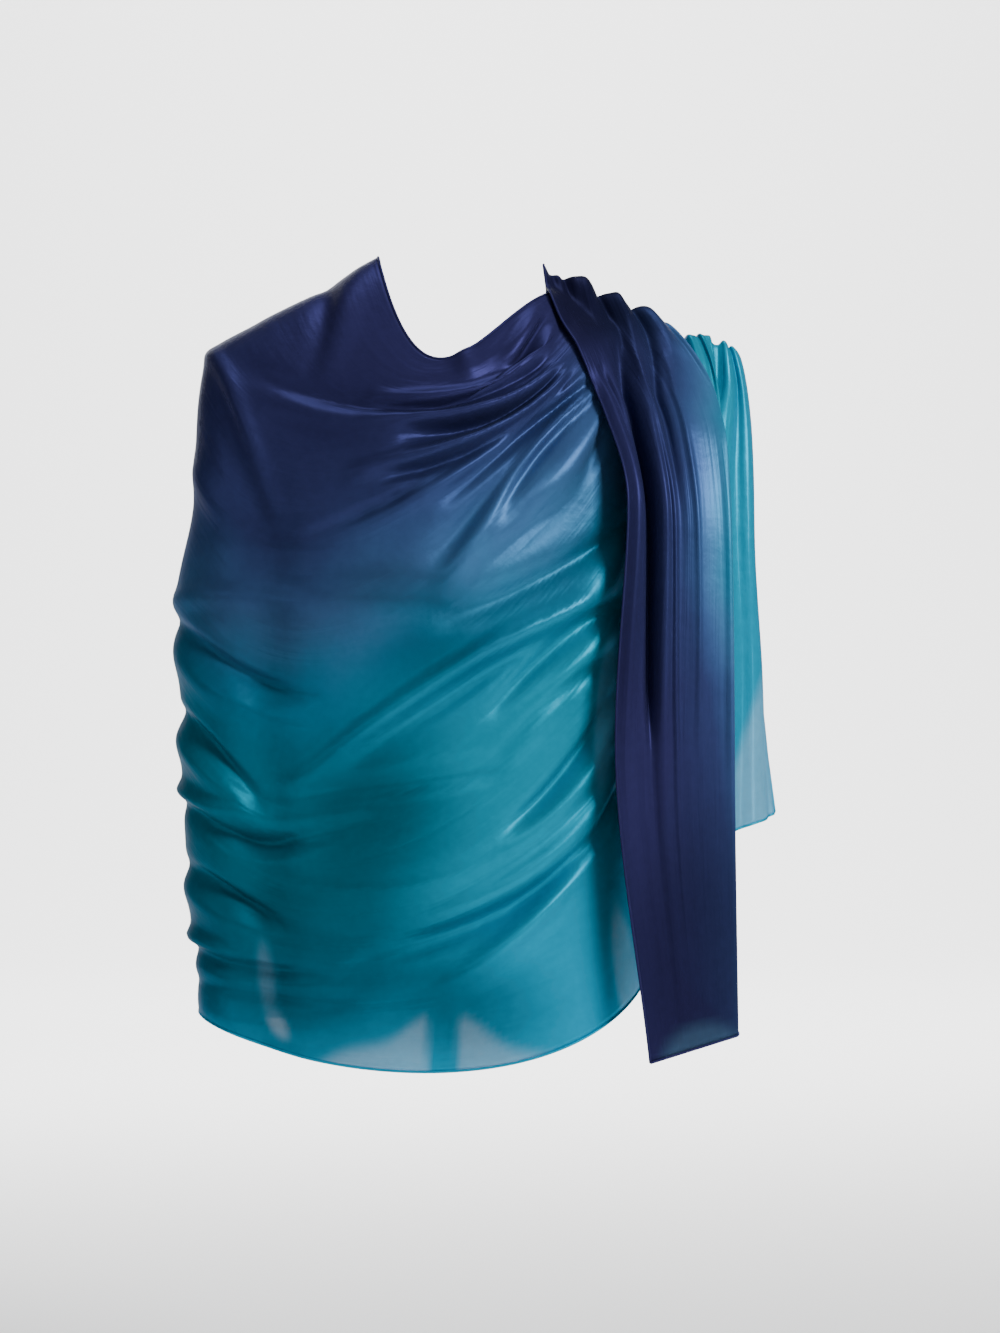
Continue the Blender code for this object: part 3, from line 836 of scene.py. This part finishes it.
    def looks(self, points: Grid, across: Grid) -> dict[str, Grid]:
        """The finish's attributes.

        Args:
            points: points of the tail in millimetres.
            across: their places across the cloth.

        Returns:
            The dye, thin and painted shade of each point.
        """
        x, z = points[..., 0], points[..., 2]
        corner = self.sheer_corner(x, z) * ease(*self.corner_start, across)
        thin = np.maximum.reduce([zone.share(x, z) for zone in self.thin_zones] + [corner])
        # Painted shade: darker where shade falls, on the top layer only
        painted_shade = np.clip(sum(zone.share(x, z) for zone in self.painted_shade_zones), 0, 1)
        painted_shade = painted_shade * (1 - ease(*self.top_layer_end, across))
        return {"dye": self.dye(across, x, z), "thin": thin, "painted_shade": painted_shade}


def surface_tree(points: Grid) -> BVHTree:
    """Tree of the faces of a grid of points.

    Args:
        points: rows, columns, and x, y, z.

    Returns:
        The tree, for casting rays.
    """
    rows, columns = points.shape[:2]
    faces = [
        (i * columns + j, i * columns + j + 1, (i + 1) * columns + j + 1, (i + 1) * columns + j)
        for i in range(rows - 1)
        for j in range(columns - 1)
    ]
    return BVHTree.FromPolygons([Vector(point) for point in points.reshape(-1, 3)], faces)


def linear(hex_colour: str) -> tuple[float, float, float, float]:
    """Linear colour of an sRGB hex value.

    Args:
        hex_colour: six hex digits.

    Returns:
        Red, green, blue and alpha.
    """
    values = [int(hex_colour[i:i + 2], 16) / 255 for i in (0, 2, 4)]
    lit = [v / 12.92 if v <= 0.04045 else ((v + 0.055) / 1.055) ** 2.4 for v in values]
    return (lit[0], lit[1], lit[2], 1.0)


def placed(name: str, shape: bmesh.types.BMesh) -> bpy.types.Object:
    """Puts a bmesh into the scene as a smooth object, and frees it.

    Args:
        name: the object's name.
        shape: its faces.

    Returns:
        The object.
    """
    for face in shape.faces:
        face.smooth = True
    mesh = bpy.data.meshes.new(name)
    shape.to_mesh(mesh)
    shape.free()
    made = bpy.data.objects.new(name, mesh)
    bpy.context.scene.collection.objects.link(made)
    return made


def add_node(
    material: bpy.types.Material,
    kind: str,
    settings: dict[str, Any] | None = None,
    inputs: dict[str | int, Any] | None = None,
    links: dict[str | int, bpy.types.NodeSocket] | None = None,
) -> bpy.types.Node:
    """Adds one node to a material.

    Args:
        material: the material.
        kind: the node's type.
        settings: attributes of the node.
        inputs: values of its sockets.
        links: sockets that feed its sockets.

    Returns:
        The node.
    """
    node = material.node_tree.nodes.new(kind)
    for name, value in (settings or {}).items():
        setattr(node, name, value)
    for name, value in (inputs or {}).items():
        node.inputs[name].default_value = value
    for name, source in (links or {}).items():
        material.node_tree.links.new(source, node.inputs[name])
    return node


@dataclass(frozen=True)
class DipDye:
    """The dye at one place across the cloth."""

    across: float
    colour: str


@dataclass(frozen=True)
class SilkSatin:
    """Dip-dyed silk satin, woven with long floats, then dyed and calendered.

    The floats give a broad soft gloss in the dye's own colour, and the dye bath gives an uneven edge
    between navy and teal. Real threads are about 0.1 mm wide, too fine to show, so the weave is drawn
    coarser: its bands lie 2 pi times thread_mm apart.
    """

    name: str
    dye: tuple[DipDye, ...] = (
        DipDye(0.00, "2a2850"),
        DipDye(0.28, "2b3058"),
        DipDye(0.36, "38507e"),
        DipDye(0.42, "3e6e98"),
        DipDye(0.47, "1e7494"),
        DipDye(0.53, "047c98"),
        DipDye(0.60, "00829c"),
        DipDye(0.80, "00829c"),
        DipDye(1.00, "0092b8"),
    )
    # Painted backlight: a pale colour mixed in where one sheer layer shows, standing in for light passing
    # through it; thin_alpha lets some real light through too
    painted_backlight_colour: str = "76b6da"
    # How far full painted shade darkens the colour
    painted_shade_share: float = 0.62
    roughness: float = 0.45
    metallic: float = 0.45
    anisotropy: float = 0.5
    sheen: float = 0.02
    sheen_roughness: float = 0.4
    sheen_colour: str = "8fa6d8"
    ior: float = 1.5
    gloss_level: float = 0.06
    gloss_edge: str = "3c5a80"
    thread_mm: float = 0.9
    slub_mm: float = 7.0
    streak_length_mm: float = 160.0
    streak_width_mm: float = 14.0
    dye_edge_mm: float = 90.0
    dye_wander: float = 0.09
    shade_change: float = 0.16
    rough_change: float = 0.10
    solid_alpha: float = 1.0
    thin_alpha: float = 0.86

    def build(self) -> bpy.types.Material:
        """Makes the material.

        Returns:
            The material.
        """
        material = bpy.data.materials.new(self.name)
        material.use_nodes = True
        shader = material.node_tree.nodes["Principled BSDF"]
        place = add_node(material, "ShaderNodeTexCoord")
        dyed, thin, painted_shade = (
            add_node(material, "ShaderNodeAttribute", {"attribute_name": look})
            for look in ("dye", "thin", "painted_shade")
        )
        cloud = add_node(
            material, "ShaderNodeTexNoise",
            inputs={"Scale": 1 / (self.dye_edge_mm * MM), "Detail": 3.0, "Roughness": 0.55},
            links={"Vector": place.outputs["Object"]},
        )
        wander = add_node(
            material, "ShaderNodeMath", {"operation": "MULTIPLY_ADD"},
            {1: self.dye_wander, 2: -self.dye_wander / 2},
            {0: cloud.outputs["Fac"]},
        )
        depth = add_node(
            material, "ShaderNodeMath", {"operation": "ADD"}, None,
            {0: dyed.outputs["Fac"], 1: wander.outputs[0]},
        )
        ramp = add_node(material, "ShaderNodeValToRGB", None, None, {"Fac": depth.outputs[0]})
        ramp.color_ramp.interpolation = "B_SPLINE"
        stops = ramp.color_ramp.elements
        stops[0].position = self.dye[0].across
        stops[1].position = self.dye[-1].across
        for dip in self.dye[1:-1]:
            stops.new(dip.across)
        for stop, dip in zip(stops, self.dye):
            stop.color = linear(dip.colour)
        # Painted backlight: the pale colour is mixed in where the cloth is thin
        thinned = add_node(
            material, "ShaderNodeMix", {"data_type": "RGBA"}, {7: linear(self.painted_backlight_colour)},
            {0: thin.outputs["Fac"], 6: ramp.outputs["Color"]},
        )
        shade = add_node(
            material, "ShaderNodeTexNoise",
            inputs={"Scale": 1 / (self.slub_mm * MM), "Detail": 2.0},
            links={"Vector": place.outputs["Object"]},
        )
        spread = add_node(
            material, "ShaderNodeMath", {"operation": "MULTIPLY_ADD"},
            {1: self.shade_change, 2: 1 - self.shade_change / 2},
            {0: shade.outputs["Fac"]},
        )
        # Painted shade: the colour is darkened where the painted_shade attribute is set
        kept = add_node(
            material, "ShaderNodeMath", {"operation": "MULTIPLY_ADD"}, {1: -self.painted_shade_share, 2: 1.0},
            {0: painted_shade.outputs["Fac"]},
        )
        spread = add_node(
            material, "ShaderNodeMath", {"operation": "MULTIPLY"}, None,
            {0: spread.outputs[0], 1: kept.outputs[0]},
        )
        tinted = add_node(
            material, "ShaderNodeVectorMath", {"operation": "SCALE"}, None,
            {0: thinned.outputs[2], "Scale": spread.outputs[0]},
        )
        alpha = add_node(
            material, "ShaderNodeMath", {"operation": "MULTIPLY_ADD"},
            {1: self.thin_alpha - self.solid_alpha, 2: self.solid_alpha},
            {0: thin.outputs["Fac"]},
        )
        cloth_map = add_node(material, "ShaderNodeUVMap", {"uv_map": "cloth"})
        thread = add_node(
            material, "ShaderNodeTexWave",
            {"wave_type": "BANDS", "bands_direction": "Y"},
            {"Scale": 1 / (self.thread_mm * MM) / WAVE_RADIANS, "Distortion": 1.5, "Detail": 2.0},
            {"Vector": cloth_map.outputs[0]},
        )
        fine = add_node(
            material, "ShaderNodeBump", None, {"Strength": 0.05, "Distance": 0.0004},
            {"Height": thread.outputs["Fac"]},
        )
        slub = add_node(
            material, "ShaderNodeBump", None, {"Strength": 0.12, "Distance": 0.002},
            {"Height": shade.outputs["Fac"], "Normal": fine.outputs[0]},
        )
        run = add_node(
            material, "ShaderNodeMapping", None,
            {"Scale": (1 / (self.streak_length_mm * MM), 1 / (self.streak_width_mm * MM), 1.0)},
            {"Vector": cloth_map.outputs[0]},
        )
        drawn = add_node(
            material, "ShaderNodeTexNoise", None,
            {"Scale": 1.0, "Detail": 3.0, "Roughness": 0.5, "Distortion": 0.4},
            {"Vector": run.outputs[0]},
        )
        streaks = add_node(
            material, "ShaderNodeBump", None, {"Strength": 0.35, "Distance": 0.0025},
            {"Height": drawn.outputs["Fac"], "Normal": slub.outputs[0]},
        )
        rough = add_node(
            material, "ShaderNodeMath", {"operation": "MULTIPLY_ADD"},
            {1: self.rough_change, 2: self.roughness - self.rough_change / 2},
            {0: cloud.outputs["Fac"]},
        )
        drivers = {"Base Color": tinted, "Alpha": alpha, "Normal": streaks, "Roughness": rough}
        for name, node in drivers.items():
            material.node_tree.links.new(node.outputs[0], shader.inputs[name])
        values = {
            "Metallic": self.metallic,
            "Anisotropic": self.anisotropy,
            "IOR": self.ior,
            "Sheen Weight": self.sheen,
            "Sheen Roughness": self.sheen_roughness,
            "Sheen Tint": linear(self.sheen_colour),
            "Specular IOR Level": self.gloss_level,
            "Specular Tint": linear(self.gloss_edge),
        }
        for name, value in values.items():
            shader.inputs[name].default_value = value
        return material


@dataclass
class Scarf:
    """Puts the two stretches together, with their hems and finishes."""

    wrap: WrapCloth = field(default_factory=WrapCloth)
    tail: TailCloth = field(default_factory=TailCloth)
    cloth_mm: float = 0.5
    hem_mm: float = 1.1
    hem_sides: int = 6
    front_width: float = 0.70

    def cloth(self, name: str, points: Grid, across: Grid, looks: dict[str, Grid]) -> bpy.types.Object:
        """One stretch as a thin shell.

        Args:
            name: the piece's name.
            points: its points in millimetres.
            across: their places across the cloth.
            looks: the finish's attributes: dye, from 0 navy to 1 teal, thin, how much light passes, which
            lowers alpha and mixes in a painted backlight colour, and painted_shade, how much painted
            shade darkens the dye.

        Returns:
            The piece.
        """
        rows, columns = points.shape[:2]
        sheet = bmesh.new()
        bmesh.ops.create_grid(sheet, x_segments=columns - 1, y_segments=rows - 1, size=0.5)
        sheet.verts.ensure_lookup_table()
        layers = {look: sheet.verts.layers.float.new(look) for look in looks}
        uv_layer = sheet.loops.layers.uv.new("cloth")
        lengths = np.linalg.norm(np.diff(points, axis=1), axis=2)
        run = np.concatenate([[0.0], np.cumsum(lengths.mean(axis=0))])
        for vert in sheet.verts:
            column = round((vert.co.x + 0.5) * (columns - 1))
            row = round((vert.co.y + 0.5) * (rows - 1))
            vert.co = Vector(points[row, column]) * MM
            for look, layer in layers.items():
                vert[layer] = float(looks[look][row, column])
            for loop in vert.link_loops:
                loop[uv_layer].uv = (run[column] * MM, across[row, column] * self.front_width)
        bmesh.ops.reverse_faces(sheet, faces=sheet.faces)
        piece = placed(name, sheet)
        wall = piece.modifiers.new("wall", "SOLIDIFY")
        wall.thickness = self.cloth_mm * MM
        wall.offset = 0
        return piece

    def hem(self, name: str, paths: Iterable[Grid], dye: Iterable[Grid]) -> bpy.types.Object:
        """Rolled hems along the edges of a stretch, as joined tubes.

        Args:
            name: the piece's name.
            paths: the edges' points in millimetres.
            dye: how deep in the dye bath each point was.

        Returns:
            The piece.
        """
        roll = bmesh.new()
        dye_layer = roll.verts.layers.float.new("dye")
        thin_layer = roll.verts.layers.float.new("thin")
        for path, places in zip(paths, dye):
            tangents = unit(np.gradient(path, axis=0))
            rings = []
            side = Vector(tangents[0]).orthogonal().normalized()
            for point, tangent, place in zip(path, tangents, places):
                way = Vector(tangent)
                side = (side - way * side.dot(way)).normalized()
                third = way.cross(side)
                ring = []
                for k in range(self.hem_sides):
                    angle = 2 * math.pi * k / self.hem_sides
                    reach = side * math.cos(angle) + third * math.sin(angle)
                    vert = roll.verts.new((Vector(point) + reach * self.hem_mm) * MM)
                    vert[dye_layer] = float(place)
                    vert[thin_layer] = 0.0
                    ring.append(vert)
                rings.append(ring)
            for first, second in zip(rings, rings[1:]):
                for k in range(self.hem_sides):
                    after = (k + 1) % self.hem_sides
                    roll.faces.new((first[k], first[after], second[after], second[k]))
            roll.faces.new(list(reversed(rings[0])))
            roll.faces.new(rings[-1])
        bmesh.ops.recalc_face_normals(roll, faces=roll.faces)
        return placed(name, roll)


def add_camera() -> None:
    """Adds the camera, level with the cloth's middle and straight in front, in the photo's frame."""
    data = bpy.data.cameras.new("photo_camera")
    camera = bpy.data.objects.new("photo_camera", data)
    bpy.context.scene.collection.objects.link(camera)
    distance = 3.2
    frame_height = PHOTO_HEIGHT * PIXEL_MM * MM
    over = PHOTO_WIDTH / 2 - ORIGIN_PIXEL[0]
    down = PHOTO_HEIGHT / 2 - ORIGIN_PIXEL[1]
    centre = Vector((over * PIXEL_MM * MM, 0, -down * PIXEL_MM * MM))
    camera.location = centre + Vector((0, -distance, 0))
    camera.rotation_euler = (math.pi / 2, 0, 0)
    data.sensor_fit = "VERTICAL"
    data.sensor_height = 36.0
    data.lens = data.sensor_height * distance / frame_height
    bpy.context.scene.camera = camera


def add_light(name: str, place: tuple[float, float, float], aim: tuple[float, float, float],
              size: float, power: float) -> None:
    """Adds a soft studio light.

    Args:
        name: its name.
        place: where it stands, in metres.
        aim: the point that it looks at.
        size: its side.
        power: its power in watts.
    """
    data = bpy.data.lights.new(name, "AREA")
    data.size = size
    data.energy = power
    light = bpy.data.objects.new(name, data)
    light.location = place
    light.rotation_euler = (Vector(aim) - Vector(place)).to_track_quat("-Z", "Y").to_euler()
    bpy.context.scene.collection.objects.link(light)


def add_studio() -> None:
    """Adds a pale floor that sweeps up behind, five soft lights and a pale world, in metres."""
    width = 60.0
    length = 32.0
    floor_z = -0.95
    near_edge = -18.0
    level_run = 23.5
    bend = 3.0
    sweep = bmesh.new()
    bmesh.ops.create_grid(sweep, x_segments=2, y_segments=120, size=0.5)
    for vert in sweep.verts:
        run = (vert.co.y + 0.5) * length
        risen = max(0.0, run - level_run)
        angle = min(risen / bend, math.pi / 2)
        flat = min(run, level_run) + bend * math.sin(angle)
        rise = bend * (1 - math.cos(angle)) + max(0.0, risen - bend * math.pi / 2)
        vert.co = Vector((vert.co.x * width, flat + near_edge, floor_z + rise))
    floor = placed("floor_sweep", sweep)
    # Matt white paint: a flat pale ground that takes a soft shadow.
    paint = bpy.data.materials.new("matt_white_paint")
    paint.use_nodes = True
    shader = paint.node_tree.nodes["Principled BSDF"]
    shader.inputs["Base Color"].default_value = linear("f4f4f4")
    shader.inputs["Roughness"].default_value = 0.9
    floor.data.materials.append(paint)
    world = bpy.data.worlds.new("pale_room")
    bpy.context.scene.world = world
    world.use_nodes = True
    world.node_tree.nodes["Background"].inputs["Color"].default_value = linear("f7f9ff")
    world.node_tree.nodes["Background"].inputs["Strength"].default_value = 0.20
    add_light("key_light", (2.15, -2.05, 1.1), (0, 0, -0.25), 1.0, 116)
    add_light("fill_light", (-2.2, -1.9, 0.6), (0, 0, -0.3), 1.4, 9)
    add_light("top_light", (0.0, 0.3, 2.2), (0, 0, -0.2), 1.0, 30)
    add_light("back_light", (-0.9, 3.0, 0.9), (0, 0, -0.3), 1.4, 38)
    add_light("wall_light", (0.0, 3.6, 3.4), (0, 7.5, 0.0), 4.0, 1050)


def main() -> None:
    """Builds the scarf, its finishes and the studio."""
    logging.basicConfig(level=logging.INFO, format="%(message)s")
    add_camera()
    add_studio()
    scarf = Scarf()
    wrap_points, wrap_across = scarf.wrap.points(scarf.tail)
    tail_points, tail_across = scarf.tail.points(wrap_points[:, :scarf.wrap.front_steps])
    wrap_looks = scarf.wrap.looks(wrap_points, wrap_across)
    tail_looks = scarf.tail.looks(tail_points, tail_across)
    wrap = scarf.cloth("wrap_cloth", wrap_points, wrap_across, wrap_looks)
    tail = scarf.cloth("tail_cloth", tail_points, tail_across, tail_looks)
    satin = SilkSatin("dip_dyed_silk_satin").build()
    wrap_hem = scarf.hem("wrap_hem", edges(wrap_points, 0), edges(wrap_looks["dye"], 0))
    tail_hem = scarf.hem("tail_hem", edges(tail_points, -1), edges(tail_looks["dye"], -1))
    slots = {"silk_wrap": (wrap, wrap_hem), "silk_tail": (tail, tail_hem)}
    for slot, piece in ((slot, piece) for slot, pieces in slots.items() for piece in pieces):
        piece.data.materials.append(satin)
        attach(piece, "root")
        LOG.info("%s: %d faces", piece.name, len(piece.data.polygons))
    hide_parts("front_wrap", "back_wrap")
    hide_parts("front_tail")


if __name__ == "__main__":
    main()
